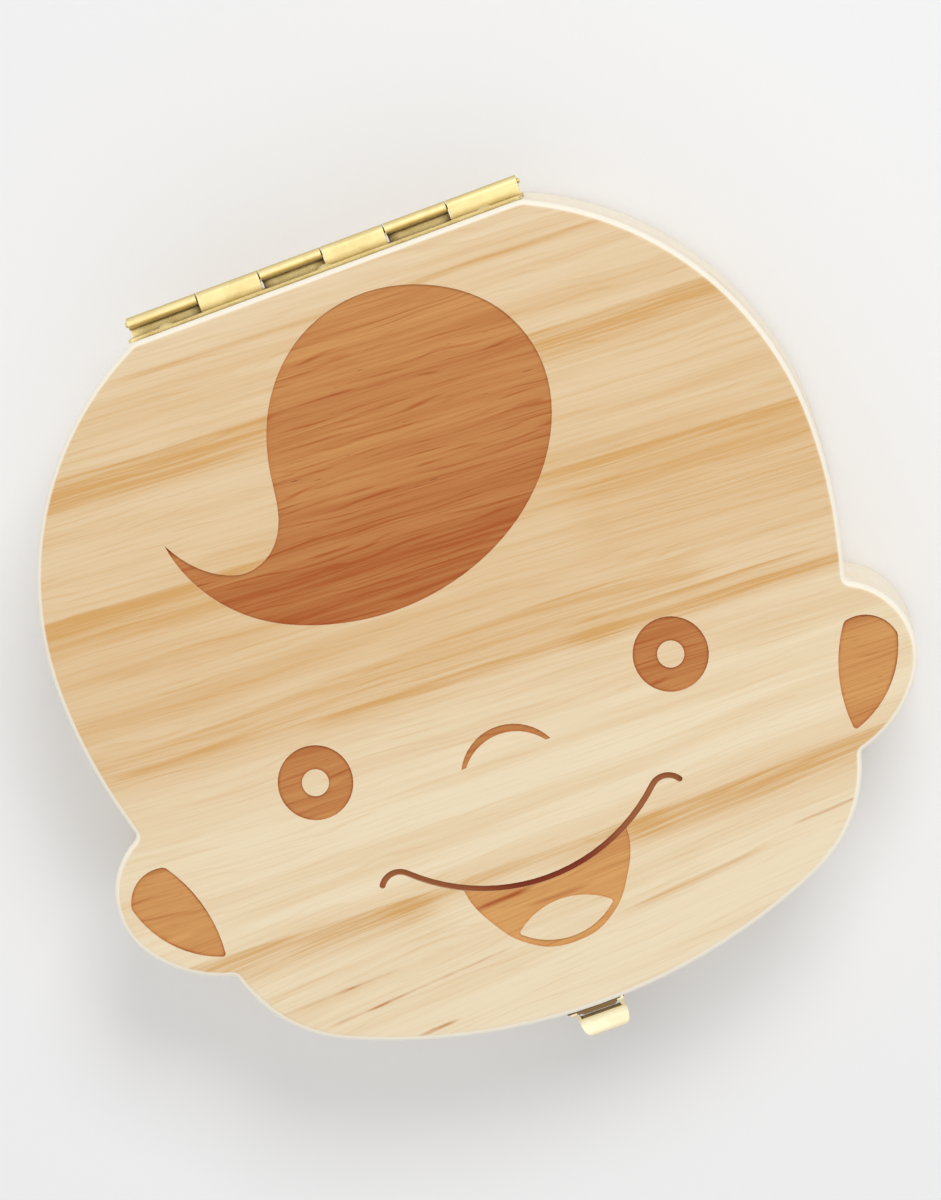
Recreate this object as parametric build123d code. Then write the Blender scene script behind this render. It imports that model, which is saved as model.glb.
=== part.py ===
from build123d import *

import os
from math import acos, asin, atan2, cos, degrees, hypot, radians, sin, sqrt

# Baby tooth box: a wooden keepsake box in the shape of a smiling baby's head. It opens on a
# brass hinge at the top of the head and shuts with a small brass latch at the chin.
#
# Lengths are in millimetres and angles in degrees. The box lies on its back: +X runs to the
# right of the face, +Y to the top of the head and +Z out of the face. Pieces are drawn about
# the middle of the face, and the whole box is then centred over its footprint.

# Head outline, the same on both sides
head_half_width = 59.2
widest_y = 13.0
chin_y = -57.6
crown_radius = 49.5
crown_cut = 4.5
cheek_radius = 78.2
jaw_radius = 21.5
jaw_centre_x = 28.3
chin_radius = 92.0
temple_radius = 3.5

# Ears, each an upper arc that runs on into the larger arc of the lobe
ear_centre_x = 51.1
ear_centre_y = -21.2
ear_radius = 11.3
lobe_radius = 18.7
lobe_angle = -34.5
ear_notch_radius = 1.0

# Wooden base and lid
base_height = 18.5
lid_height = 10.2
seam_gap = 0.3
face_edge_radius = 1.1
seam_edge_radius = 0.4
underside_edge_radius = 1.2
lid_rim_width = 9.0
lid_recess_depth = 4.5

# Depth of the engraving in the face, and of its smile line
engraving_depth = 0.4
smile_depth = 0.8

# Hair curl: its points are shares of its width and height from its lower left corner, and run
# from the tip under the curl, up its right side, over the top and back down to the tip
curl_left_x = -36.5
curl_bottom_y = 7.8
curl_width = 61.7
curl_height = 45.4
curl_shares = [
    (0.0, 0.455),
    (0.049, 0.271),
    (0.143, 0.132),
    (0.293, 0.035),
    (0.452, 0.0),
    (0.637, 0.031),
    (0.796, 0.128),
    (0.930, 0.304),
    (0.998, 0.573),
    (0.948, 0.800),
    (0.820, 0.945),
    (0.640, 1.0),
    (0.472, 0.932),
    (0.344, 0.745),
    (0.297, 0.546),
    (0.277, 0.403),
    (0.227, 0.310),
    (0.160, 0.281),
    (0.105, 0.302),
    (0.045, 0.365),
    (0.0, 0.455),
]

# Eyes
eye_x = 27.9
eye_y = -12.1
eye_radius = 5.6
pupil_radius = 2.0

# Nose, a bow that is thicker in its middle
nose_half_width = 7.0
nose_end_y = -17.7
nose_rise = 4.3
nose_middle_thickness = 1.2
nose_end_thickness = 0.75

# Smile line, an arc with a small hook at each end
smile_middle_x = -0.6
smile_half_width = 19.25
smile_corner_y = -29.4
smile_low_y = -37.05
smile_line_width = 0.9
hook_radius = 2.7
hook_turn_angle = 100.0

# Open mouth below the smile, its sides as shares of its half width and depth, and the tongue
mouth_half_width = 12.9
mouth_bottom_y = -47.45
mouth_side_shares = [(0.93, 0.317), (0.80, 0.539), (0.668, 0.718), (0.51, 0.848), (0.318, 0.952)]
tongue_half_width = 7.45
tongue_tip_y = -43.5
tongue_top_y = -40.7
tongue_bottom_y = -46.5
tongue_tip_radius = 0.4

# Hollow of each ear: its outer side follows the lobe, and its other points are shares of the
# ear's radius from the ear's centre
ear_rim_width = 3.1
ear_hollow_low_angle = -73.5
ear_hollow_turn_angle = -13.2
ear_hollow_crest_share = (0.637, 0.345)
ear_hollow_top_share = (0.20, 0.435)
ear_hollow_side_share = (-0.10, -0.21)
ear_hollow_crown_radius = 1.2
ear_hollow_tip_radius = 0.5

# Wells in the base: two rows of tooth wells in a ring, a slot for the vial and a round well
teeth_per_row = 10
tooth_well_radius = 4.7
tooth_well_depth = 11.0
tooth_well_wall = 10.0
well_mouth_chamfer = 0.4
well_mouth_angle = 45.0
vial_slot_length = 46.0
vial_slot_width = 14.0
vial_slot_depth = 12.0
vial_slot_corner_radius = 3.0
vial_slot_y = 13.0
cord_well_radius = 12.0
cord_well_depth = 12.0
cord_well_y = -15.0

# Glass vial and its cork, which lie in the slot
vial_radius = 5.6
vial_wall = 0.8
vial_length = 34.0
vial_foot_radius = 1.0
vial_neck_radius = 4.2
vial_neck_length = 4.0
vial_shoulder_length = 2.5
vial_lip_radius = 4.9
vial_lip_length = 1.4
vial_seat_gap = 0.05
cork_in_neck = 4.5
cork_out_of_neck = 4.5
cork_head_radius = 3.9
cork_chamfer = 0.4
cork_fit = 0.05

# Hinge along the top of the head
hinge_middle_x = -0.5
hinge_length = 61.5
hinge_end_knuckle = 10.9
hinge_knuckles = 6
knuckle_gap = 0.2
barrel_radius = 0.95
barrel_standoff = 1.55
leaf_thickness = 0.5
leaf_reach = 7.4
leaf_slot_reach = 1.9
leaf_corner_radius = 0.8
hinge_pin_clearance = 0.05
hinge_pin_overhang = 0.4

# Nails, all alike, that hold the hinge, the latch and the catch
nail_head_radius = 1.1
nail_head_height = 0.5
nail_shank_radius = 0.5
nail_length = 6.0
nail_point_length = 1.2
nail_point_radius = 0.1
nail_hole_clearance = 0.05
hinge_nail_margin = 5.75
hinge_nail_reach = 5.0

# Latch on the lid at the chin: a plate, its pin, and the flap that hangs from the pin. The flap
# runs straight past its window, bends outwards into a lip for a fingertip, and rolls down again
# along the lip's rim
latch_middle_x = -1.1
latch_width = 8.4
latch_sheet = 0.5
latch_standoff = 1.0
latch_pivot_height = 1.2
latch_barrel_radius = 0.8
latch_pin_radius = 0.35
latch_pin_clearance = 0.05
latch_pin_overhang = 0.2
latch_arm_width = 1.0
latch_knuckle_gap = 0.15
latch_plate_reach = 5.9
latch_plate_slot_reach = 1.2
latch_corner_radius = 0.8
latch_nail_spacing = 4.4
latch_nail_reach = 3.6
flap_straight = 4.8
flap_window_reach = 4.6
flap_bend_radius = 2.0
flap_bend_angle = 45.0
flap_lip = 1.6
flap_rim_radius = 0.9
flap_rim_angle = 60.0
flap_lip_width = 7.5
flap_shoulder_reach = 1.6
flap_shoulder_drop = 1.2
flap_corner_radius = 2.4
flap_rest_angle = 26.0

# Ease of a pin's ends, as a share of its radius
pin_end_share = 0.3

# Catch on the base: a plate with the nose that the flap's window drops over
catch_top_gap = 0.6
catch_height = 12.0
nose_width = 5.8
nose_height = 2.5
nose_depth = 1.7
nose_clearance = 0.7
nose_edge_radius = 0.7
catch_nail_drop = 2.8
catch_nail_rise = 2.0

# How far every cutting tool runs past the face it cuts
overrun = 1.0

# How close two places have to be to count as the same one
same_place = 0.05

# Places worked out from the sizes above
head_top_y = widest_y + crown_radius - crown_cut
total_height = base_height + seam_gap + lid_height
lid_bottom_z = base_height + seam_gap
hinge_axis_y = head_top_y + barrel_standoff + barrel_radius
hinge_axis_z = base_height + seam_gap / 2
latch_axis_y = chin_y - latch_standoff
latch_axis_z = lid_bottom_z + latch_pivot_height
hinge_nail_spacing = hinge_length / 2 - hinge_nail_margin
window_half_width = latch_width / 2 - latch_arm_width
nose_bottom_z = latch_axis_z - flap_window_reach + nose_clearance
catch_top_z = base_height - catch_top_gap
catch_bottom_z = catch_top_z - catch_height

# Round shapes about the Z axis that stand on their place, or hang down from it
bottom_up = (Align.CENTER, Align.CENTER, Align.MIN)
top_down = (Align.CENTER, Align.CENTER, Align.MAX)


def polar(centre, radius, angle):
    """The point of a circle at an angle from +X."""
    return (
        centre[0] + radius * cos(radians(angle)),
        centre[1] + radius * sin(radians(angle)),
    )


def mirrored(shape):
    """The shape on the other side of the face."""
    return mirror(shape, about=Plane.YZ)


def arc_band(centre, radius, start_angle, arc_size, width):
    """A band of constant width along an arc."""
    inner = radius - width / 2
    outer = radius + width / 2
    end_angle = start_angle + arc_size
    return make_face(
        [
            CenterArc(centre, inner, start_angle, arc_size),
            CenterArc(centre, outer, start_angle, arc_size),
            Line(polar(centre, inner, start_angle), polar(centre, outer, start_angle)),
            Line(polar(centre, inner, end_angle), polar(centre, outer, end_angle)),
        ]
    )


def head_face():
    """The head without its ears: tangent arcs and lines down each side."""
    crown = (head_half_width - crown_radius, widest_y)
    cheek = (head_half_width - cheek_radius, widest_y)
    chin = (0, chin_y + chin_radius)
    jaw_drop = sqrt((chin_radius - jaw_radius) ** 2 - jaw_centre_x**2)
    jaw = (jaw_centre_x, chin[1] - jaw_drop)
    crown_angle = degrees(asin((head_top_y - widest_y) / crown_radius))
    across = jaw[0] - cheek[0]
    down = jaw[1] - cheek[1]
    spread = acos((cheek_radius - jaw_radius) / hypot(across, down))
    cheek_angle = degrees(atan2(down, across) + spread)
    chin_angle = degrees(atan2(jaw[1] - chin[1], jaw[0]))
    right = [
        Line((0, head_top_y), polar(crown, crown_radius, crown_angle)),
        CenterArc(crown, crown_radius, crown_angle, -crown_angle),
        CenterArc(cheek, cheek_radius, 0, cheek_angle),
        Line(polar(cheek, cheek_radius, cheek_angle), polar(jaw, jaw_radius, cheek_angle)),
        CenterArc(jaw, jaw_radius, cheek_angle, chin_angle - cheek_angle),
        CenterArc(chin, chin_radius, chin_angle, -90 - chin_angle),
    ]
    face = make_face(right + [mirrored(edge) for edge in right])
    temples = [
        corner
        for corner in face.vertices()
        if abs(abs(corner.X) - polar(crown, crown_radius, crown_angle)[0]) < same_place
    ]
    return fillet(temples, temple_radius)


def lobe_centre():
    """The centre of the lobe's arc, which carries on from the ear's upper arc."""
    return polar((ear_centre_x, ear_centre_y), ear_radius - lobe_radius, lobe_angle)


def ear_face():
    """The right ear, drawn on into the head so that the two join."""
    centre = (ear_centre_x, ear_centre_y)
    return make_face(
        [
            CenterArc(centre, ear_radius, 90, lobe_angle - 90),
            CenterArc(lobe_centre(), lobe_radius, lobe_angle, -90 - lobe_angle),
            Line(polar(lobe_centre(), lobe_radius, -90), polar(centre, ear_radius, 90)),
        ]
    )


def outline_face():
    """The whole outline of the box: the head with both ears, their notches eased."""
    whole = head_face() + ear_face() + mirrored(ear_face())
    return offset(offset(whole, ear_notch_radius), -ear_notch_radius)


def curl_face():
    """The hair curl: smooth all round, with its only corner at the tip."""
    points = [
        (curl_left_x + u * curl_width, curl_bottom_y + v * curl_height) for u, v in curl_shares
    ]
    return make_face(Spline(points))


def eye_face():
    """The right eye: a ring about a plain pupil."""
    return Pos(eye_x, eye_y) * (Circle(eye_radius) - Circle(pupil_radius))


def nose_face():
    """The nose: two arcs closed by short ends."""
    crest_y = nose_end_y + nose_rise
    inner_x = nose_half_width - nose_end_thickness
    outer_arc = ThreePointArc(
        (-nose_half_width, nose_end_y), (0, crest_y), (nose_half_width, nose_end_y)
    )
    inner_arc = ThreePointArc(
        (-inner_x, nose_end_y), (0, crest_y - nose_middle_thickness), (inner_x, nose_end_y)
    )
    right_end = Line((inner_x, nose_end_y), (nose_half_width, nose_end_y))
    return make_face([outer_arc, inner_arc, right_end, mirrored(right_end)])


def smile_arc():
    """Centre and radius of the smile line's arc, from its corners and its lowest point."""
    sag = smile_corner_y - smile_low_y
    radius = (smile_half_width**2 + sag**2) / (2 * sag)
    return (0, smile_low_y + radius), radius


def smile_face():
    """The smile line with its two hooks."""
    centre, radius = smile_arc()
    end_angle = degrees(atan2(smile_corner_y - centre[1], smile_half_width))
    hook = polar(centre, radius + hook_radius, end_angle)
    hook_end_angle = 180 + end_angle - hook_turn_angle
    hook_band = arc_band(hook, hook_radius, hook_end_angle, hook_turn_angle, smile_line_width)
    hook_tip = Pos(*polar(hook, hook_radius, hook_end_angle)) * Circle(smile_line_width / 2)
    line = arc_band(centre, radius, end_angle, -180 - 2 * end_angle, smile_line_width)
    hooked = hook_band + hook_tip
    return Pos(smile_middle_x, 0) * (line + hooked + mirrored(hooked))


def mouth_face():
    """The open mouth, under the smile's arc, with the tongue left standing in it."""
    centre, radius = smile_arc()
    corner_y = centre[1] - sqrt(radius**2 - mouth_half_width**2)
    depth = corner_y - mouth_bottom_y
    side = [(mouth_half_width, corner_y)]
    side += [(u * mouth_half_width, corner_y - v * depth) for u, v in mouth_side_shares]
    other_side = [(-x, y) for x, y in reversed(side)]
    bowl = Spline(side + [(0, mouth_bottom_y)] + other_side)
    lip = ThreePointArc(
        (-mouth_half_width, corner_y), (0, smile_low_y), (mouth_half_width, corner_y)
    )
    tips = [(-tongue_half_width, tongue_tip_y), (tongue_half_width, tongue_tip_y)]
    tongue = make_face(
        [
            ThreePointArc(tips[0], (0, tongue_top_y), tips[1]),
            ThreePointArc(tips[0], (0, tongue_bottom_y), tips[1]),
        ]
    )
    return make_face([bowl, lip]) - fillet(tongue.vertices(), tongue_tip_radius)


def ear_hollow_face():
    """The hollow of the right ear."""

    def from_ear(share):
        return (ear_centre_x + share[0] * ear_radius, ear_centre_y + share[1] * ear_radius)

    radius = lobe_radius - ear_rim_width
    low = polar(lobe_centre(), radius, ear_hollow_low_angle)
    turn = polar(lobe_centre(), radius, ear_hollow_turn_angle)
    top = from_ear(ear_hollow_top_share)
    hollow = make_face(
        [
            CenterArc(
                lobe_centre(),
                radius,
                ear_hollow_low_angle,
                ear_hollow_turn_angle - ear_hollow_low_angle,
            ),
            ThreePointArc(turn, from_ear(ear_hollow_crest_share), top),
            ThreePointArc(top, from_ear(ear_hollow_side_share), low),
        ]
    )
    hollow = fillet(hollow.vertices().sort_by(Axis.Y)[0], ear_hollow_tip_radius)
    for corner in (turn, top):
        hollow = fillet(hollow.vertices().sort_by_distance(corner)[0], ear_hollow_crown_radius)
    return hollow


def engraving(face, depth):
    """The cutter for an engraved area of the face."""
    return Pos(0, 0, total_height - depth) * extrude(face, depth + overrun)


def nail():
    """One nail, its head's underside at the origin and its domed head towards +Z."""
    dome_radius = (nail_head_radius**2 + nail_head_height**2) / (2 * nail_head_height)
    dome = Pos(0, 0, nail_head_height - dome_radius) * Sphere(dome_radius)
    head = dome & Cylinder(nail_head_radius, nail_head_height, align=bottom_up)
    straight = nail_length - nail_point_length
    shank = Cylinder(nail_shank_radius, straight, align=top_down)
    point = Pos(0, 0, -straight) * Cone(
        nail_point_radius, nail_shank_radius, nail_point_length, align=top_down
    )
    return head + shank + point


def nail_hole():
    """The hole that a nail goes into, as a cutter about the nail's own place."""
    radius = nail_shank_radius + nail_hole_clearance
    depth = nail_length + nail_hole_clearance
    return Pos(0, 0, -depth) * Cylinder(radius, depth + overrun, align=bottom_up)


def hinge_nail_places(side):
    """Where the hinge's nails go: above the axis for the lid (1), below it for the base (-1)."""
    y = head_top_y + leaf_thickness
    z = hinge_axis_z + side * hinge_nail_reach
    steps = (-1, 0, 1)
    return [Pos(hinge_middle_x + step * hinge_nail_spacing, y, z) * Rot(X=-90) for step in steps]


def latch_nail_places():
    """Where the latch plate's two nails go."""
    y = chin_y - latch_sheet
    z = latch_axis_z + latch_nail_reach
    sides = (-1, 1)
    return [
        Pos(latch_middle_x + side * latch_nail_spacing / 2, y, z) * Rot(X=90) for side in sides
    ]


def catch_nail_places():
    """Where the catch plate's two nails go, one above the other."""
    y = chin_y - latch_sheet
    heights = [nose_bottom_z - catch_nail_drop, catch_bottom_z + catch_nail_rise]
    return [Pos(latch_middle_x, y, z) * Rot(X=90) for z in heights]


def all_at(places, shape):
    """The same shape at several places."""
    return [place * shape for place in places]


def side_edges(board, z):
    """The edges of a board's outer wall at one height."""
    level = board.faces().filter_by(Axis.Z).filter_by(
        lambda face: abs(face.center().Z - z) < same_place
    )
    return level.sort_by(lambda face: face.outer_wire().length)[-1].outer_wire().edges()


def lid_board():
    """The lid: a board with a rounded face, engraved, and hollowed a little underneath."""
    board = Pos(0, 0, lid_bottom_z) * extrude(outline_face(), lid_height)
    board = fillet(side_edges(board, total_height), face_edge_radius)
    board = fillet(side_edges(board, lid_bottom_z), seam_edge_radius)
    recess = offset(head_face(), -lid_rim_width)
    board -= Pos(0, 0, lid_bottom_z - overrun) * extrude(recess, lid_recess_depth + overrun)
    for face in (curl_face(), nose_face(), mouth_face()):
        board -= engraving(face, engraving_depth)
    for face in (eye_face(), ear_hollow_face()):
        board -= engraving(face, engraving_depth)
        board -= engraving(mirrored(face), engraving_depth)
    board -= engraving(smile_face(), smile_depth)
    for hole in all_at(hinge_nail_places(1) + latch_nail_places(), nail_hole()):
        board -= hole
    return board


def tooth_well_places():
    """Centres of the tooth wells: a ring with one place left out at each side."""
    half_width = head_half_width - tooth_well_wall - tooth_well_radius
    half_height = (head_top_y - chin_y) / 2 - tooth_well_wall - tooth_well_radius
    middle_y = (head_top_y + chin_y) / 2
    step = 180 / (teeth_per_row + 1)
    angles = [row * step * (tooth + 1) for row in (1, -1) for tooth in range(teeth_per_row)]
    return [
        (half_width * cos(radians(angle)), middle_y + half_height * sin(radians(angle)))
        for angle in angles
    ]


def well(face, depth):
    """The cutter for a well in the base, with an eased mouth."""
    body = Pos(0, 0, base_height - depth) * extrude(face, depth)
    mouth = Pos(0, 0, base_height - well_mouth_chamfer) * extrude(
        face, well_mouth_chamfer, taper=-well_mouth_angle
    )
    return body + mouth


def base_block():
    """The base: a thick board with wells for the teeth, the vial and the cord stump."""
    block = extrude(outline_face(), base_height)
    block = fillet(side_edges(block, base_height), seam_edge_radius)
    block = fillet(side_edges(block, 0), underside_edge_radius)
    tooth_well = well(Circle(tooth_well_radius), tooth_well_depth)
    for x, y in tooth_well_places():
        block -= Pos(x, y) * tooth_well
    slot = RectangleRounded(vial_slot_length, vial_slot_width, vial_slot_corner_radius)
    block -= Pos(0, vial_slot_y) * well(slot, vial_slot_depth)
    block -= Pos(0, cord_well_y) * well(Circle(cord_well_radius), cord_well_depth)
    for hole in all_at(hinge_nail_places(-1) + catch_nail_places(), nail_hole()):
        block -= hole
    return block


def knuckle_spans():
    """The stretches along the hinge that its knuckles take, from left to right."""
    gaps = (hinge_knuckles - 1) * knuckle_gap
    inner = (hinge_length - 2 * hinge_end_knuckle - gaps) / (hinge_knuckles - 2)
    widths = [hinge_end_knuckle] + [inner] * (hinge_knuckles - 2) + [hinge_end_knuckle]
    starts = [
        sum(widths[:index]) + index * knuckle_gap - hinge_length / 2
        for index in range(hinge_knuckles)
    ]
    return [(start, start + width) for start, width in zip(starts, widths)]


def rod_x(radius, start, end):
    """A round rod along X."""
    return Pos((start + end) / 2, 0, 0) * Rot(Y=90) * Cylinder(radius, end - start)


def block_between(low, high):
    """A block from its lowest corner to its highest."""
    size = [high[axis] - low[axis] for axis in range(3)]
    return Pos(*low) * Box(*size, align=(Align.MIN, Align.MIN, Align.MIN))


def rolled_leaf(width, reach, slot_reach, sheet, standoff, radius, bore, spans, corner_radius):
    """A sheet-metal leaf that stands against a wall at -Y and rolls round an axis along X.

    The leaf is drawn about that axis. Between its knuckles it is slotted back, to let the
    knuckles of the other leaf turn."""
    wall = -standoff
    front = wall + sheet
    neck = radius - sheet
    plate = block_between((-width / 2, wall, slot_reach), (width / 2, front, reach))
    leaf = fillet(plate.edges().filter_by(Axis.Y).group_by(Axis.Z)[-1], corner_radius)
    for start, end in spans:
        leaf += block_between((start, wall, neck), (end, front, slot_reach))
        leaf += block_between((start, wall, neck), (end, 0, radius))
        leaf += rod_x(radius, start, end)
    return leaf - rod_x(bore, -width / 2 - overrun, width / 2 + overrun)


def hinge_leaf(first_knuckle, side):
    """One leaf of the hinge with every other knuckle: the lid's stands above the axis (side
    1) and the base's hangs below it (side -1)."""
    leaf = rolled_leaf(
        width=hinge_length,
        reach=leaf_reach,
        slot_reach=leaf_slot_reach,
        sheet=leaf_thickness,
        standoff=barrel_standoff + barrel_radius,
        radius=barrel_radius,
        bore=barrel_radius - leaf_thickness,
        spans=knuckle_spans()[first_knuckle::2],
        corner_radius=leaf_corner_radius,
    )
    if side < 0:
        leaf = mirror(leaf, about=Plane.XY)
    leaf = Pos(hinge_middle_x, hinge_axis_y, hinge_axis_z) * leaf
    for hole in all_at(hinge_nail_places(side), nail_hole()):
        leaf -= hole
    return leaf


def pin_x(radius, length):
    """A pin along X with eased ends, about its own middle."""
    rod = rod_x(radius, -length / 2, length / 2)
    return chamfer(rod.edges(), radius * pin_end_share)


def hinge_pin():
    """The pin through all the hinge's knuckles."""
    radius = barrel_radius - leaf_thickness - hinge_pin_clearance
    pin = pin_x(radius, hinge_length + 2 * hinge_pin_overhang)
    return Pos(hinge_middle_x, hinge_axis_y, hinge_axis_z) * pin


def latch_plate():
    """The plate on the lid's chin, rolled round the latch pin between the flap's arms."""
    neck_half_width = window_half_width - latch_knuckle_gap
    plate = rolled_leaf(
        width=latch_width,
        reach=latch_plate_reach,
        slot_reach=latch_plate_slot_reach,
        sheet=latch_sheet,
        standoff=latch_standoff,
        radius=latch_barrel_radius,
        bore=latch_pin_radius + latch_pin_clearance,
        spans=[(-neck_half_width, neck_half_width)],
        corner_radius=latch_corner_radius,
    )
    plate = Pos(latch_middle_x, latch_axis_y, latch_axis_z) * Rot(Z=180) * plate
    for hole in all_at(latch_nail_places(), nail_hole()):
        plate -= hole
    return plate


def latch_pin():
    """The pin that the flap swings on."""
    pin = pin_x(latch_pin_radius, latch_width + 2 * latch_pin_overhang)
    return Pos(latch_middle_x, latch_axis_y, latch_axis_z) * pin


def flap_profile():
    """The flap's sheet seen from its side, hanging from the pin at the origin."""
    bend_centre = (-flap_bend_radius, -flap_straight)
    bend_end = polar(bend_centre, flap_bend_radius, -flap_bend_angle)
    lip_end = polar(bend_end, flap_lip, -90 - flap_bend_angle)
    rim_centre = polar(lip_end, flap_rim_radius, -flap_bend_angle)
    rim_start = 180 - flap_bend_angle
    straight = Pos(0, -flap_straight / 2) * Rectangle(latch_sheet, flap_straight)
    bend = arc_band(bend_centre, flap_bend_radius, 0, -flap_bend_angle, latch_sheet)
    lip = Pos(*bend_end) * Rot(Z=-flap_bend_angle) * Pos(0, -flap_lip / 2)
    rim = arc_band(rim_centre, flap_rim_radius, rim_start, flap_rim_angle, latch_sheet)
    return straight + bend + lip * Rectangle(latch_sheet, flap_lip) + rim


def flap_front(low_z):
    """The flap seen from its front, down to the rim: its arms draw in to the narrower lip."""
    side = [
        (latch_width / 2, latch_barrel_radius),
        (latch_width / 2, -flap_shoulder_reach),
        (flap_lip_width / 2, -flap_shoulder_reach - flap_shoulder_drop),
        (flap_lip_width / 2, low_z),
    ]
    other_side = [(-x, z) for x, z in reversed(side)]
    front = make_face(Polyline(*side, *other_side, close=True))
    return fillet(front.vertices().group_by(Axis.Y)[0], flap_corner_radius)


def latch_flap():
    """The flap: two arms round the pin, a window, and a lip that bends out to a fingertip."""
    flap = extrude(Plane.YZ * flap_profile(), latch_width / 2, both=True)
    flap += rod_x(latch_barrel_radius, -latch_width / 2, latch_width / 2)
    flap -= rod_x(
        latch_pin_radius + latch_pin_clearance,
        -latch_width / 2 - overrun,
        latch_width / 2 + overrun,
    )
    box = flap.bounding_box()
    front = Plane.XZ * flap_front(box.min.Z)
    flap &= extrude(front, box.size.Y + overrun, both=True)
    flap -= block_between(
        (-window_half_width, box.min.Y - overrun, -flap_window_reach),
        (window_half_width, box.max.Y + overrun, box.max.Z + overrun),
    )
    return Pos(latch_middle_x, latch_axis_y, latch_axis_z) * Rot(X=-flap_rest_angle) * flap


def catch_plate():
    """The plate on the base's chin, with the nose that holds the flap."""
    half = latch_width / 2
    plate = block_between(
        (latch_middle_x - half, chin_y - latch_sheet, catch_bottom_z),
        (latch_middle_x + half, chin_y, catch_top_z),
    )
    plate = fillet(plate.edges().filter_by(Axis.Y), latch_corner_radius)
    nose = block_between(
        (latch_middle_x - nose_width / 2, chin_y - nose_height, nose_bottom_z),
        (latch_middle_x + nose_width / 2, chin_y - latch_sheet, nose_bottom_z + nose_depth),
    )
    nose = fillet(nose.faces().sort_by(Axis.Y)[0].edges(), nose_edge_radius)
    plate += nose
    for hole in all_at(catch_nail_places(), nail_hole()):
        plate -= hole
    return plate


def in_the_slot(shape):
    """A piece drawn along +Z from the vial's foot, laid down along X in its slot."""
    start_x = -(vial_length + cork_out_of_neck) / 2
    floor_z = base_height - vial_slot_depth
    return Pos(start_x, vial_slot_y, floor_z + vial_radius + vial_seat_gap) * Rot(Y=90) * shape


def vial():
    """The glass vial for a lock of hair: a body, a shoulder, a neck and a lip."""
    shoulder = vial_length - vial_neck_length - vial_shoulder_length
    neck = vial_length - vial_neck_length
    lip = vial_length - vial_lip_length
    outside = Polyline(
        (0, 0),
        (vial_radius, 0),
        (vial_radius, shoulder),
        (vial_neck_radius, neck),
        (vial_neck_radius, lip),
        (vial_lip_radius, lip),
        (vial_lip_radius, vial_length),
        (0, vial_length),
        close=True,
    )
    inside = Polyline(
        (0, vial_wall),
        (vial_radius - vial_wall, vial_wall),
        (vial_radius - vial_wall, shoulder),
        (vial_neck_radius - vial_wall, neck),
        (vial_neck_radius - vial_wall, vial_length + overrun),
        (0, vial_length + overrun),
        close=True,
    )
    glass = revolve(Plane.XZ * (make_face(outside) - make_face(inside)), Axis.Z)
    foot = glass.edges().filter_by(GeomType.CIRCLE).group_by(Axis.Z)[0]
    return in_the_slot(fillet(foot, vial_foot_radius))


def cork():
    """The vial's cork: straight in the neck and wider above it."""
    radius = vial_neck_radius - vial_wall - cork_fit
    in_neck = Cylinder(radius, cork_in_neck, align=top_down)
    above_neck = Cone(radius, cork_head_radius, cork_out_of_neck, align=bottom_up)
    stopper = Pos(0, 0, vial_length) * (in_neck + above_neck)
    ends = stopper.edges().filter_by(GeomType.CIRCLE).group_by(Axis.Z)
    return in_the_slot(chamfer(ends[0] + ends[-1], cork_chamfer))


def pieces():
    """Every piece of the box by name, centred over the footprint."""
    made = {
        "base_block": base_block(),
        "lid_board": lid_board(),
        "hinge_leaf_base": hinge_leaf(0, -1),
        "hinge_leaf_lid": hinge_leaf(1, 1),
        "hinge_pin": hinge_pin(),
        "hinge_nails_base": Compound(all_at(hinge_nail_places(-1), nail())),
        "hinge_nails_lid": Compound(all_at(hinge_nail_places(1), nail())),
        "latch_plate": latch_plate(),
        "latch_pin": latch_pin(),
        "latch_flap": latch_flap(),
        "latch_nails": Compound(all_at(latch_nail_places(), nail())),
        "catch_plate": catch_plate(),
        "catch_nails": Compound(all_at(catch_nail_places(), nail())),
        "lanugo_vial": vial(),
        "vial_cork": cork(),
    }
    front_y = made["latch_flap"].bounding_box().min.Y
    back_y = hinge_axis_y + barrel_radius
    centring = Pos(0, -(front_y + back_y) / 2, 0)
    return {name: centring * piece for name, piece in made.items()}


os.makedirs("parts", exist_ok=True)
for name, piece in pieces().items():
    export_step(piece, f"parts/{name}.step")
    print(name, len(piece.solids()), "solids", round(piece.volume, 1), "mm3")
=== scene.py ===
import math

import bpy
from mathutils import Matrix, Vector

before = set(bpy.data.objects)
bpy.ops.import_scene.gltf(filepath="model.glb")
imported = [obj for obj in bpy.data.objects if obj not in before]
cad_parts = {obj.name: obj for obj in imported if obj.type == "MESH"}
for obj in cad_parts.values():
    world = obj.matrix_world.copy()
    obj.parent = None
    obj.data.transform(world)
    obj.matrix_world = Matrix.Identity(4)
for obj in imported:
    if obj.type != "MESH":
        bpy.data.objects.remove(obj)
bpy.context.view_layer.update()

# A baby tooth box of pine and brass, shut and lying on its back. Lengths are in metres in the
# first two groups, and in mm in the rest, because grain and engraving are that fine.
mm = 0.001

# Camera: the photograph's viewing angle on the face. Only the sensor's width is in mm
camera_distance = 0.857
camera_aim = Vector((0.00305, 0.00686, 0.029))
tilt_right = math.radians(4.6)
tilt_up = math.radians(5.1)
camera_roll = math.radians(20.42)
seen_width = 0.1382
sensor_width = 36.0

# Light: a soft window from the top right of the face, a wide soft fill from above, and a pale room
window_place = Vector((0.42, 0.57, 0.92))
window_size = 0.50
window_watts = 4.6
fill_place = Vector((-0.25, -0.30, 1.10))
fill_size = 1.20
fill_watts = 2.4
room_light = 0.58
seen_room_light = 1.0
floor_size = 8.0
floor_drop = 0.0002

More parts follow.
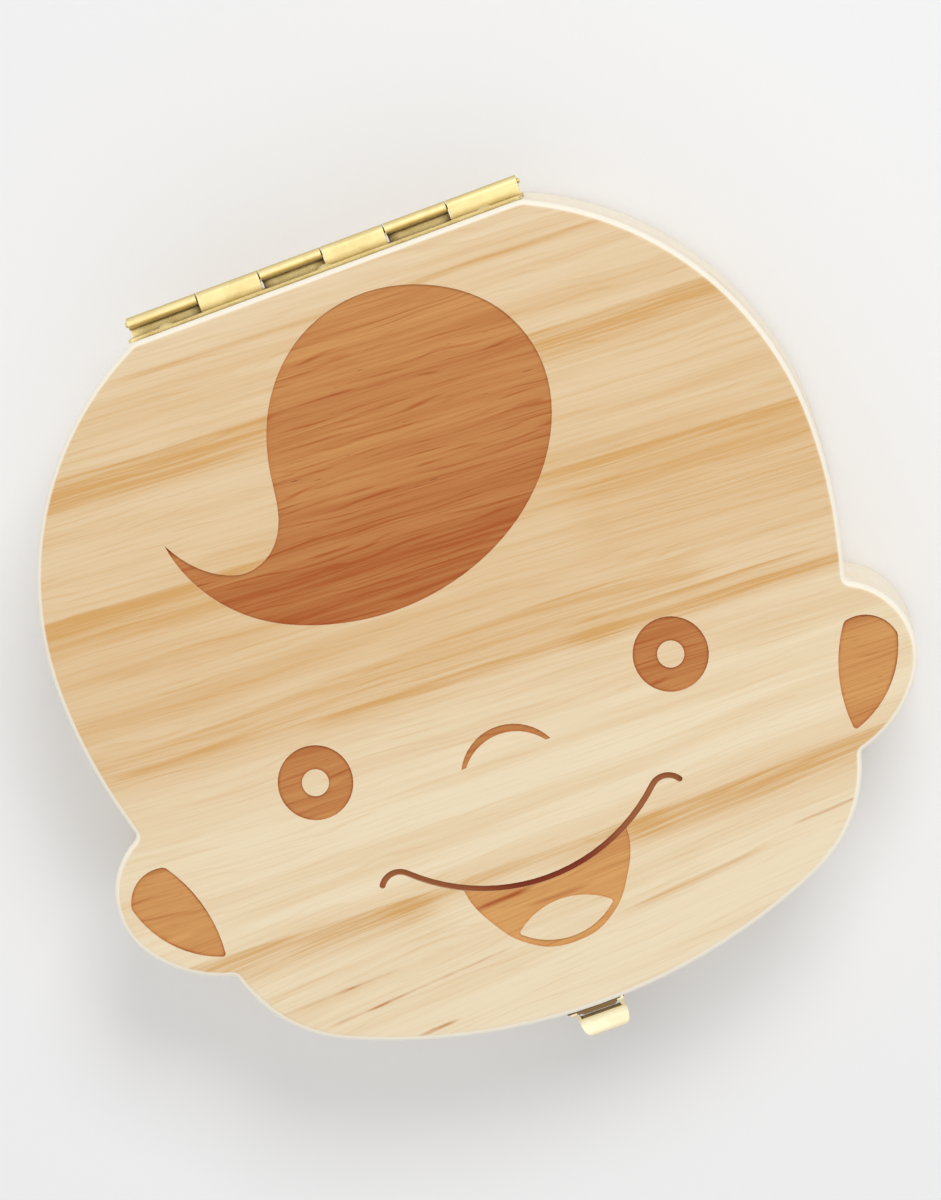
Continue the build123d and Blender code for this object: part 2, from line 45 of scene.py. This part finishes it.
# Colours as 0 to 255 for red, green and blue
room_colour = (255, 255, 255)
floor_colour = (243, 243, 244)
pale_pine = (240, 223, 190)
honey_pine = (214, 166, 102)
line_pine = (194, 130, 68)
# Painted highlight on the lid's rounded edge
edge_highlight_pine = (254, 248, 232)
# Painted light: the colour that upright sides of the wood are painted towards
side_light_pine = (250, 243, 228)
light_burn = (220, 165, 99)
deep_burn = (170, 88, 34)
rim_burn = (168, 84, 36)
# Burnt colour of the deep smile groove, darkened with painted shade, darkest at its middle
smile_burn_and_shade = (170, 104, 64)
smile_middle_burn_and_shade = (136, 52, 20)
pore_brown = (112, 50, 20)
# Dark painted shade in tight gaps between brass parts
brass_gap_shade = (62, 40, 18)
glass_colour = (244, 250, 248)
cork_colour = (188, 142, 98)
cork_dark = (112, 72, 44)

# Brass finishes: colour, the colour of its mottling and painted shade, and how hemmed in the
# sheet is where its dark painted shade starts
plain_brass = ((236, 218, 162), (186, 158, 84), 0.43)
# The flap's brass, painted paler: a painted highlight
painted_highlight_brass = ((250, 240, 204), (216, 192, 142), 0.46)
# The catch's brass, painted darker all over: painted shade for the gap in the flap's window
painted_shade_brass = ((146, 114, 64), (88, 62, 30), 0.26)
# How soon the dark painted shade of gaps is whole
gap_shade_spread = 0.17

# Surfaces: how rough they are, how much they bend light, and how strongly they mirror it
floor_roughness = 0.9
pine_refraction = 1.45
pine_shine = 0.3
glass_roughness = 0.03
glass_refraction = 1.47
glass_clearness = 1.0
cork_roughness = 0.85

# Where each wood's texture is counted from: the middle of the face, and a place that gives the
# base a grain of its own
face_middle = (0, -1.37, 0)
base_grain_place = (310, -170, 90)

# Heights on the lid
face_height = 29.0
engraved_height = 28.6
smile_height = 28.2

# A burnt colour is whole up to the first reach above its floor, and has gone at the second one.
# On a wall, painted paler as painted light against the wall's shade, it starts at the first wall
# reach above the floor, and is whole from the second one
engraved_reach = (0.1, 0.2)
smile_reach = (0.1, 0.25)
engraved_wall_reach = (-0.04, 0.02)
smile_wall_reach = (-0.1, 0.0)

# Depths below the face: where the burnt floors start and are whole, how far down the painted
# highlight on the rounded edge comes, and how softly that ends
burnt_depths = (1.2, 1.0)
face_edge = 1.1
face_edge_blend = 0.3

# The smile's middle height, and how far from the face's middle and from that height its burnt
# walls, painted paler as painted light, reach: there are none past the first number, and they are
# whole within the second one
smile_y = -33.0
smile_half_width = (30.0, 26.0)
smile_half_height = (14.0, 12.0)

# Growth lines: their slope on the chin and on the brow, their sway, pitch and wander
chin_grain_y = -46.0
brow_grain_y = -8.0
chin_grain_slope = 0.07
brow_grain_slope = -0.055
grain_sway = 2.2
line_pitch = 1.05
line_wander = 5.0

# Noises, which run from 0 to 1 about their middle: the length of their marks along X, Y and Z,
# their detail and their roughness
noise_middle = 0.5
sway_noise = ((55, 16, 16), 2.0, 0.5)
band_noise = ((90, 3.4, 9), 3.0, 0.55)
fibre_noise = ((16, 0.30, 0.6), 2.0, 0.6)
pore_noise = ((3.4, 0.26, 0.5), 2.0, 0.5)
wander_noise = ((26, 5, 9), 2.0, 0.5)
gate_noise = ((14, 1.1, 4), 2.0, 0.5)
patch_noise = ((9, 4, 4), 2.0, 0.5)
rolling_noise = ((8.0, 0.25, 0.25), 2.0, 0.6)
mottle_noise = ((2.6, 2.6, 2.6), 3.0, 0.6)
glass_noise = ((9.0, 4.0, 4.0), 1.0, 0.5)
cork_grain_noise = ((1.1, 1.1, 1.1), 3.0, 0.6)
cork_fleck_noise = ((0.6, 1.2, 1.2), 2.0, 0.5)

# Smooth steps: where a value starts and ends to count, and what it gives at both ends where that
# isn't 0 and 1. First the bare wood
ripple_to_line = (0.2, 1.0)
gate_to_line = (0.42, 0.66)
bands_to_honey = (0.40, 0.72, 0.0, 0.26)
fibres_to_honey = (0.30, 0.75, -0.07, 0.08)
fibres_to_streak = (0.28, 0.68, 0.62, 1.2)
pores_to_tone = (0.68, 0.78, 0.0, 0.16)
pores_to_thin_line = (0.35, 0.6, 0.45, 1.0)
# Painted light on upright sides, by how far the surface turns from up
turn_to_side_light = (0.6, 0.2, 0.0, 0.7)
# Where the rounded edge gets its painted highlight, by how far the surface turns from up
turn_to_edge_highlight = (0.995, 0.85)
fibres_to_roughness = (0.2, 0.8, 0.52, 0.66)

# Steps of the engraving
fibres_to_burn = (0.30, 0.72, -0.09, 0.11)
bands_to_burn = (0.35, 0.70, -0.10, 0.15)
pores_to_dash = (0.68, 0.76, 0.0, 0.7)
patches_to_dash = (0.48, 0.62, 0.1, 1.0)
hollow_to_rim = (0.10, 0.40)
middle_to_rim = (14.0, 20.0)
y_to_rim = (2.0, -6.0, 0.0, 0.75)
patches_to_rim = (0.35, 0.65, 0.2, 1.0)
middle_to_smile = (16.0, 4.0)
turn_to_floor = (0.92, 0.98)
turn_to_wall = (0.5, 0.3)

# Steps of the brass and the cork
mottle_to_shade = (0.35, 0.75, 0.0, 0.3)
# Painted shade on brass where other parts hem it in
hollow_to_painted_shade = (0.28, 0.50, 0.0, 0.75)
# Painted shade on brass that faces away from up
turn_to_painted_shade = (0.92, 0.3, 0.0, 0.5)
# The dark painted shade in gaps is also less metallic
gap_shade_to_metal = (0.0, 1.0, 1.0, 0.4)
rolling_to_roughness = (0.2, 0.8, 0.30, 0.48)
grains_to_dark = (0.35, 0.7, 0.0, 0.5)
flecks_to_dark = (0.66, 0.74)

# Strengths as shares
line_honey = 0.14
line_burn = 0.30
# How strongly the painted highlight covers the rounded edge
edge_highlight_share = 0.9
# How far the engraving's walls are painted toward pale pine: painted light against their shade
wall_light_share = 0.7
fibre_height = 0.6
pore_height = 0.4

# How far the burnt rim and the brass's painted shade in hollows reach, and how finely that is
# sampled
rim_width = 0.8
brass_hollow_width = 2.2
hollow_samples = 8

# Bumps: depth and strength
wood_bump = (0.04, 0.5)
brass_bump = (0.02, 0.35)
glass_bump = (0.05, 0.25)
cork_bump = (0.25, 0.8)

# How much of the honey tone the pine has, by Y
honey_by_y = [
    (-60.0, 0.0),
    (-50.0, 0.0),
    (-38.0, 0.10),
    (-24.0, 0.02),
    (-12.0, 0.18),
    (0.0, 0.40),
    (10.0, 0.52),
    (30.0, 0.42),
    (48.0, 0.36),
    (60.0, 0.2),
]

# How much of the deep tone the engraving has, by Y
burn_by_y = [
    (-52.0, 0.05),
    (-46.0, 0.0),
    (-40.0, 0.12),
    (-35.0, 0.27),
    (-30.0, 0.30),
    (-24.0, 0.16),
    (-18.0, 0.22),
    (-15.5, 0.62),
    (-12.0, 0.52),
    (-8.0, 0.70),
    (8.0, 0.86),
    (20.0, 0.70),
    (36.0, 0.50),
    (54.0, 0.34),
]

# Streaks across the face, sharp above and fading below: Y of the upper edge at the middle, its
# slope, thickness, left end, right end and strength
streaks = [
    (52.9, -0.031, 1.1, -34, 40, 0.35),
    (40.7, -0.045, 6.5, -70, 70, 0.44),
    (38.9, -0.045, 0.9, -70, 70, 0.2),
    (20.6, -0.055, 3.2, -70, 70, 0.34),
    (20.4, -0.055, 8.0, -70, -20, 0.16),
    (17.0, -0.05, 16.0, 22, 70, 0.15),
    (1.4, 0.0, 8.0, -70, 36, 0.22),
    (-1.6, -0.01, 1.6, -56, -34, 0.26),
    (-3.9, -0.03, 2.8, -24, 22, 0.3),
    (-2.2, -0.04, 1.2, 16, 52, 0.4),
    (-3.9, -0.045, 3.4, 16, 70, 0.42),
    (-33.7, -0.036, 6.5, -70, -18, 0.54),
    (-33.6, 0.026, 5.5, 12, 70, 0.52),
    (-32.8, 0.0, 4.0, -24, 20, 0.3),
    (-38.0, 0.044, 1.4, -47, -16, 0.22),
    (-46.1, 0.09, 1.3, 10, 30, 0.5),
]
streak_fade = 4.0
thin_lines = [
    (-41.0, 0.045, 0.6, -44, -27, 0.35),
    (-41.0, 0.045, 0.6, -35.5, -33.0, 0.85),
    (-44.2, 0.07, 0.6, -38, -10, 0.45),
    (-44.3, 0.07, 0.6, -32, -27, 0.75),
    (-44.0, 0.061, 0.6, 37, 47, 0.6),
    (-51.0, 0.06, 0.75, -26, -21, 0.9),
]
thin_line_fade = 1.5

# The same for the darkest marks in the engraving
burn_marks = [
    (-37.2, 0.035, 1.1, -12, -4, 0.8),
    (-39.9, 0.0, 0.8, -4, 4, 0.5),
    (40.6, -0.045, 5.0, -30, 40, 0.22),
    (29.2, 0.0, 3.6, -42, -36, 1.2),
]
burn_mark_fade = 2.0

# A streak's upper edge starts and ends within these shares of its thickness, or of 1 mm where it
# is thicker than that, and it starts to fade at this share of its thickness
edge_start_share = -0.25
edge_end_share = 0.35
fade_start_share = 0.3


def linear(colour):
    """A 0 to 255 colour as the red, green, blue and alpha that a shader takes, without gamma."""
    shares = [value / 255 for value in colour]
    return tuple(
        share / 12.92 if share <= 0.04045 else ((share + 0.055) / 1.055) ** 2.4
        for share in shares
    ) + (1.0,)


class Graph:
    """A material's node tree, with one short call for each kind of node it needs."""

    def __init__(self, name):
        self.material = bpy.data.materials.new(name)
        self.material.use_nodes = True
        self.tree = self.material.node_tree
        self.tree.nodes.clear()

    def node(self, kind, **settings):
        made = self.tree.nodes.new(kind)
        for name, value in settings.items():
            setattr(made, name, value)
        return made

    def feed(self, socket, value):
        if isinstance(value, bpy.types.NodeSocket):
            self.tree.links.new(value, socket)
        else:
            socket.default_value = value

    def maths(self, operation, *values, clamp=False):
        made = self.node("ShaderNodeMath", operation=operation, use_clamp=clamp)
        for socket, value in zip(made.inputs, values):
            self.feed(socket, value)
        return made.outputs[0]

    def running(self, operation, values):
        """One value from many, taken together two at a time."""
        result = values[0]
        for value in values[1:]:
            result = self.maths(operation, result, value)
        return result

    def total(self, *values):
        return self.running("ADD", values)

    def product(self, *values):
        return self.running("MULTIPLY", values)

    def clamped_total(self, *values):
        return self.maths("ADD", self.total(*values), 0.0, clamp=True)

    def smooth(self, value, low, high, start=0.0, end=1.0):
        """A smooth step of a value from low to high."""
        made = self.node("ShaderNodeMapRange", interpolation_type="SMOOTHSTEP")
        for name, given in (
            ("Value", value),
            ("From Min", low),
            ("From Max", high),
            ("To Min", start),
            ("To Max", end),
        ):
            self.feed(made.inputs[name], given)
        return made.outputs[0]

    def straight(self, value, low, high):
        """A straight step of a value from low to high."""
        made = self.node("ShaderNodeMapRange")
        for name, given in (("Value", value), ("From Min", low), ("From Max", high)):
            self.feed(made.inputs[name], given)
        return made.outputs[0]

    def mix(self, share, first, second):
        made = self.node("ShaderNodeMix", data_type="RGBA")
        for index, given in ((0, share), (6, first), (7, second)):
            self.feed(made.inputs[index], given)
        return made.outputs[2]

    def table(self, value, stops):
        """A value read from a short table of places and numbers."""
        low = stops[0][0]
        high = stops[-1][0]
        made = self.node("ShaderNodeFloatCurve")
        curve = made.mapping.curves[0]
        places = [((place - low) / (high - low), number) for place, number in stops]
        curve.points[0].location = places[0]
        curve.points[-1].location = places[-1]
        for place in places[1:-1]:
            curve.points.new(*place)
        made.mapping.update()
        self.feed(made.inputs["Value"], self.straight(value, low, high))
        return made.outputs[0]

    def noise(self, where, lengths, detail, roughness):
        """A noise whose marks have the given lengths along X, Y and Z."""
        stretched = self.node("ShaderNodeVectorMath", operation="MULTIPLY")
        self.feed(stretched.inputs[0], where)
        self.feed(stretched.inputs[1], [1 / length for length in lengths])
        made = self.node("ShaderNodeTexNoise")
        self.feed(made.inputs["Vector"], stretched.outputs[0])
        self.feed(made.inputs["Scale"], 1.0)
        self.feed(made.inputs["Detail"], detail)
        self.feed(made.inputs["Roughness"], roughness)
        return made.outputs["Fac"]

    def place(self, offset=(0, 0, 0)):
        """The place on the box at rest in mm, moved by an offset."""
        coordinates = self.node("ShaderNodeTexCoord")
        made = self.node("ShaderNodeVectorMath", operation="MULTIPLY_ADD")
        self.feed(made.inputs[0], coordinates.outputs["Object"])
        self.feed(made.inputs[1], (1 / mm, 1 / mm, 1 / mm))
        self.feed(made.inputs[2], offset)
        return made.outputs[0]

    def apart(self, where):
        """A vector's X, Y and Z."""
        made = self.node("ShaderNodeSeparateXYZ")
        self.feed(made.inputs[0], where)
        return tuple(made.outputs)

    def vector(self, x, y, z):
        made = self.node("ShaderNodeCombineXYZ")
        for socket, value in zip(made.inputs, (x, y, z)):
            self.feed(socket, value)
        return made.outputs[0]

    def facing_up(self):
        """How far the surface faces up the box's own Z, from -1 to 1."""
        coordinates = self.node("ShaderNodeTexCoord")
        return self.apart(coordinates.outputs["Normal"])[2]

    def hollow(self, reach, only_local=True):
        """How hemmed in the surface is, by its own piece or by all of them, from 0 to 1."""
        made = self.node("ShaderNodeAmbientOcclusion")
        made.samples = hollow_samples
        made.only_local = only_local
        self.feed(made.inputs["Distance"], reach * mm)
        return self.maths("SUBTRACT", 1.0, made.outputs["AO"])

    def bump(self, height, depth, strength):
        made = self.node("ShaderNodeBump")
        self.feed(made.inputs["Strength"], strength)
        self.feed(made.inputs["Distance"], depth * mm)
        self.feed(made.inputs["Height"], height)
        return made.outputs[0]

    def surface(self, **values):
        """The finished surface, from the shader's sockets by name."""
        shader = self.node("ShaderNodeBsdfPrincipled")
        for name, value in values.items():
            self.feed(shader.inputs[name.replace("_", " ")], value)
        output = self.node("ShaderNodeOutputMaterial")
        self.feed(output.inputs["Surface"], shader.outputs[0])
        return self.material


def above(height, reaches):
    """The two heights at the given reaches above a height."""
    return [height + reach for reach in reaches]


def streak_cover(graph, x, y, rows, fade):
    """How much the given streaks cover a place on the face."""
    covers = []
    for top_y, slope, thickness, left, right, strength in rows:
        line = graph.maths("MULTIPLY_ADD", x, slope, top_y)
        below = graph.maths("SUBTRACT", line, y)
        edge = min(1.0, thickness)
        start = graph.smooth(below, edge_start_share * edge, edge_end_share * edge)
        end = graph.smooth(below, thickness, fade_start_share * thickness, 0.0, strength)
        from_left = graph.smooth(x, left - fade, left + fade)
        to_right = graph.smooth(x, right + fade, right - fade)
        covers.append(graph.product(start, end, from_left, to_right))
    return graph.maths("MINIMUM", graph.total(*covers), 1.0)


class Grain:
    """The pine's growth rings, fibres and pores, which the wood and the engraving share."""

    def __init__(self, graph, offset):
        where = graph.place(offset)
        self.x, self.y, self.z = graph.apart(where)
        slope = graph.smooth(
            self.y, chin_grain_y, brow_grain_y, chin_grain_slope, brow_grain_slope
        )
        sway = graph.maths("SUBTRACT", graph.noise(where, *sway_noise), noise_middle)
        self.swayed_y = graph.maths("MULTIPLY_ADD", sway, grain_sway, self.y)
        level = graph.maths("SUBTRACT", self.swayed_y, graph.product(self.x, slope))
        self.place = graph.vector(self.x, level, self.z)
        self.bands = graph.noise(self.place, *band_noise)
        self.fibres = graph.noise(self.place, *fibre_noise)
        self.pores = graph.noise(self.place, *pore_noise)
        self.lines = self.growth_lines(graph, level)

    def growth_lines(self, graph, level):
        """Thin growth lines at an even pitch that wander and come and go."""
        wander = graph.noise(self.place, *wander_noise)
        ripple_place = graph.maths("MULTIPLY_ADD", wander, line_wander, level)
        ripple = graph.maths("SINE", graph.product(ripple_place, 2 * math.pi / line_pitch))
        gate = graph.noise(self.place, *gate_noise)
        return graph.product(
            graph.smooth(ripple, *ripple_to_line), graph.smooth(gate, *gate_to_line)
        )


def bare_wood(graph, grain, face):
    """The wood's own colour. The lid's face has the streaks and the thin dark lines."""
    shares = [
        graph.table(grain.y, honey_by_y),
        graph.smooth(grain.bands, *bands_to_honey),
        graph.smooth(grain.fibres, *fibres_to_honey),
        graph.product(grain.lines, line_honey),
    ]
    if face:
        streaked = streak_cover(graph, grain.x, grain.swayed_y, streaks, streak_fade)
        shares.append(graph.product(streaked, graph.smooth(grain.fibres, *fibres_to_streak)))
    wood = graph.mix(graph.clamped_total(*shares), linear(pale_pine), linear(honey_pine))
    wood = graph.mix(graph.smooth(grain.pores, *pores_to_tone), wood, linear(line_pine))
    if face:
        dark = streak_cover(graph, grain.x, grain.y, thin_lines, thin_line_fade)
        broken = graph.smooth(grain.pores, *pores_to_thin_line)
        wood = graph.mix(graph.product(dark, broken), wood, linear(line_pine))
    return wood


def burnt_wood(graph, grain, from_middle):
    """The colour that the burning leaves in the engraving, and in the deeper smile line. The smile
    line's burnt colour is darkened with painted shade in its groove, most at its middle.
    """
    shares = [
        graph.table(grain.y, burn_by_y),
        graph.smooth(grain.fibres, *fibres_to_burn),
        graph.smooth(grain.bands, *bands_to_burn),
        graph.product(grain.lines, line_burn),
        streak_cover(graph, grain.x, grain.y, burn_marks, burn_mark_fade),
    ]
    burnt = graph.mix(graph.clamped_total(*shares), linear(light_burn), linear(deep_burn))
    patches = graph.noise(grain.place, *patch_noise)
    dashes = graph.product(
        graph.smooth(grain.pores, *pores_to_dash), graph.smooth(patches, *patches_to_dash)
    )
    burnt = graph.mix(dashes, burnt, linear(pore_brown))
    rim = graph.product(
        graph.smooth(graph.hollow(rim_width), *hollow_to_rim),
        graph.smooth(from_middle, *middle_to_rim),
        graph.smooth(grain.y, *y_to_rim),
        graph.smooth(patches, *patches_to_rim),
    )
    burnt = graph.mix(rim, burnt, linear(rim_burn))
    # The smile groove: burnt colour with painted shade, darkest at the middle
    smile = graph.mix(
        graph.smooth(from_middle, *middle_to_smile), linear(smile_burn_and_shade), linear(smile_middle_burn_and_shade)
    )
    full, gone = above(smile_height, smile_reach)
    return graph.mix(graph.smooth(grain.z, gone, full), burnt, smile)


def engraved_wood(graph, grain, up, wood):
    """The lid's face: the wood, a painted highlight on its rounded edge, and the burnt engraving.
    """
    edge_start = face_height - face_edge
    at_edge = graph.smooth(grain.z, edge_start - face_edge_blend, edge_start)
    # Painted highlight: the rounded edge is painted near white
    rounded = graph.product(graph.smooth(up, *turn_to_edge_highlight), at_edge, edge_highlight_share)
    wood = graph.mix(rounded, wood, linear(edge_highlight_pine))

    from_middle = graph.maths("ABSOLUTE", grain.x)
    burnt = burnt_wood(graph, grain, from_middle)
    full, gone = above(engraved_height, engraved_reach)
    floor = graph.product(
        graph.smooth(up, *turn_to_floor),
        graph.smooth(grain.z, gone, full),
        graph.smooth(grain.z, *[face_height - depth for depth in burnt_depths]),
    )
    wood = graph.mix(floor, wood, burnt)

    from_smile = graph.maths("ABSOLUTE", graph.maths("SUBTRACT", grain.y, smile_y))
    shallow = graph.smooth(grain.z, *above(engraved_height, engraved_wall_reach))
    deep = graph.product(
        graph.smooth(from_middle, *smile_half_width),
        graph.smooth(from_smile, *smile_half_height),
        graph.smooth(grain.z, *above(smile_height, smile_wall_reach)),
    )
    # Painted light: the engraving's walls are painted paler to offset their shade
    upright = graph.smooth(graph.maths("ABSOLUTE", up), *turn_to_wall)
    lit_wall = graph.product(upright, graph.maths("MAXIMUM", shallow, deep))
    return graph.mix(lit_wall, wood, graph.mix(wall_light_share, burnt, linear(pale_pine)))


def pine(name, offset, face):
    """Bare sanded pine, with the engraving on the lid's face."""
    graph = Graph(name)
    grain = Grain(graph, offset)
    wood = bare_wood(graph, grain, face)
    up = graph.facing_up()
    # Painted light: upright sides are painted paler, as if lit
    side_light = graph.smooth(graph.maths("ABSOLUTE", up), *turn_to_side_light)
    wood = graph.mix(side_light, wood, linear(side_light_pine))
    if face:
        wood = engraved_wood(graph, grain, up, wood)
    height = graph.total(
        graph.product(grain.fibres, fibre_height), graph.product(grain.pores, pore_height)
    )
    return graph.surface(
        Base_Color=wood,
        Roughness=graph.smooth(grain.fibres, *fibres_to_roughness),
        Normal=graph.bump(height, *wood_bump),
        IOR=pine_refraction,
        Specular_IOR_Level=pine_shine,
    )


def brass(name, finish):
    """Thin plated brass sheet with faint rolling lines and mottling. Shade is painted on where
    it is hemmed in or faces away from up, and a dark painted shade fills tight gaps.
    """
    colour, mottle_and_shade_colour, gap_shade_from = finish
    graph = Graph(name)
    where = graph.place()
    rolling = graph.noise(where, *rolling_noise)
    mottle = graph.noise(where, *mottle_noise)
    hollow = graph.hollow(brass_hollow_width, only_local=False)
    # Mottling, and painted shade where other parts hem the sheet in
    shade = graph.maths(
        "ADD",
        graph.smooth(mottle, *mottle_to_shade),
        graph.smooth(hollow, *hollow_to_painted_shade),
        clamp=True,
    )
    # Painted shade where the sheet faces away from up
    shade = graph.maths("MAXIMUM", shade, graph.smooth(graph.facing_up(), *turn_to_painted_shade))
    mottled_and_shaded = graph.mix(shade, linear(colour), linear(mottle_and_shade_colour))
    # Dark painted shade in tight gaps between parts
    dark = graph.smooth(hollow, gap_shade_from, gap_shade_from + gap_shade_spread)
    return graph.surface(
        Base_Color=graph.mix(dark, mottled_and_shaded, linear(brass_gap_shade)),
        Metallic=graph.smooth(dark, *gap_shade_to_metal),
        Roughness=graph.smooth(rolling, *rolling_to_roughness),
        Normal=graph.bump(rolling, *brass_bump),
    )


def glass(name):
    """Clear glass."""
    graph = Graph(name)
    waves = graph.noise(graph.place(), *glass_noise)
    return graph.surface(
        Base_Color=linear(glass_colour),
        Roughness=glass_roughness,
        Transmission_Weight=glass_clearness,
        IOR=glass_refraction,
        Normal=graph.bump(waves, *glass_bump),
    )


def cork(name):
    """Pressed cork, with dark flecks and small pits."""
    graph = Graph(name)
    where = graph.place()
    grains = graph.noise(where, *cork_grain_noise)
    flecks = graph.noise(where, *cork_fleck_noise)
    mottled = graph.mix(
        graph.smooth(grains, *grains_to_dark), linear(cork_colour), linear(cork_dark)
    )
    return graph.surface(
        Base_Color=graph.mix(graph.smooth(flecks, *flecks_to_dark), mottled, linear(cork_dark)),
        Roughness=cork_roughness,
        Normal=graph.bump(grains, *cork_bump),
    )


def dress(node, material):
    """Gives a CAD node a better material in the slots that it has."""
    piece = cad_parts[node]
    if not piece.material_slots:
        piece.data.materials.append(material)
    for slot in piece.material_slots:
        slot.material = material


def add_floor():
    """A wide pale matt floor under the box."""
    half = floor_size / 2
    corners = [(-half, -half), (half, -half), (half, half), (-half, half)]
    mesh = bpy.data.meshes.new("floor")
    mesh.from_pydata([(x, y, -floor_drop) for x, y in corners], [], [(0, 1, 2, 3)])
    matt = Graph("floor").surface(Base_Color=linear(floor_colour), Roughness=floor_roughness)
    mesh.materials.append(matt)
    floor = bpy.data.objects.new("floor", mesh)
    bpy.context.scene.collection.objects.link(floor)


def add_room():
    """An even pale room, which the camera and shiny surfaces see as plain white."""
    world = bpy.data.worlds.new("room")
    bpy.context.scene.world = world
    world.use_nodes = True
    nodes = world.node_tree.nodes
    links = world.node_tree.links
    nodes.clear()
    rays = nodes.new("ShaderNodeLightPath")
    seen = rays.outputs["Is Camera Ray"]
    for other in ("Is Glossy Ray", "Is Transmission Ray"):
        either = nodes.new("ShaderNodeMath")
        either.operation = "MAXIMUM"
        links.new(seen, either.inputs[0])
        links.new(rays.outputs[other], either.inputs[1])
        seen = either.outputs[0]
    strength = nodes.new("ShaderNodeMapRange")
    links.new(seen, strength.inputs["Value"])
    strength.inputs["To Min"].default_value = room_light
    strength.inputs["To Max"].default_value = seen_room_light
    background = nodes.new("ShaderNodeBackground")
    background.inputs["Color"].default_value = linear(room_colour)
    links.new(strength.outputs[0], background.inputs["Strength"])
    output = nodes.new("ShaderNodeOutputWorld")
    links.new(background.outputs[0], output.inputs["Surface"])


def add_lamp(name, place, size, watts):
    """A square soft lamp that faces the box."""
    light = bpy.data.lights.new(name, "AREA")
    light.size = size
    light.energy = watts
    lamp = bpy.data.objects.new(name, light)
    lamp.location = place
    lamp.rotation_euler = (camera_aim - place).to_track_quat("-Z", "Y").to_euler()
    bpy.context.scene.collection.objects.link(lamp)


def add_camera():
    """The camera, a little to the right of the face's middle and above it, and rolled."""
    sideways = math.sin(tilt_right)
    upwards = math.sin(tilt_up)
    back = Vector((sideways, upwards, math.sqrt(1 - sideways**2 - upwards**2)))
    level_up = (Vector((0, 1, 0)) - back * back.y).normalized()
    level_right = level_up.cross(back)
    up = level_up * math.cos(camera_roll) + level_right * math.sin(camera_roll)
    right = level_right * math.cos(camera_roll) - level_up * math.sin(camera_roll)
    place = camera_aim + back * camera_distance
    data = bpy.data.cameras.new("camera")
    data.sensor_fit = "HORIZONTAL"
    data.sensor_width = sensor_width
    data.lens = sensor_width * camera_distance / seen_width
    camera = bpy.data.objects.new("camera", data)
    turned = Matrix((right, up, back)).transposed().to_4x4()
    camera.matrix_world = Matrix.Translation(place) @ turned
    bpy.context.scene.collection.objects.link(camera)
    bpy.context.scene.camera = camera


hinge_finish = brass("brass", plain_brass)
# The flap's brass, painted paler as a painted highlight
flap_highlight_finish = brass("painted_highlight_brass", painted_highlight_brass)
# The catch's brass, painted darker as painted shade in the flap's window
catch_shade_finish = brass("painted_shade_brass", painted_shade_brass)
finishes = {
    "lid_board": pine("pine_lid", face_middle, True),
    "base_block": pine("pine_base", base_grain_place, False),
    "lanugo_vial": glass("glass"),
    "vial_cork": cork("cork"),
    "latch_flap": flap_highlight_finish,
    "latch_plate": catch_shade_finish,
    "latch_pin": catch_shade_finish,
    "latch_nails": catch_shade_finish,
    "catch_plate": catch_shade_finish,
    "catch_nails": catch_shade_finish,
}
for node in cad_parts:
    dress(node, finishes.get(node, hinge_finish))

add_floor()
add_room()
add_lamp("window", window_place, window_size, window_watts)
add_lamp("fill", fill_place, fill_size, fill_watts)
add_camera()
bpy.context.scene.view_settings.view_transform = "Standard"
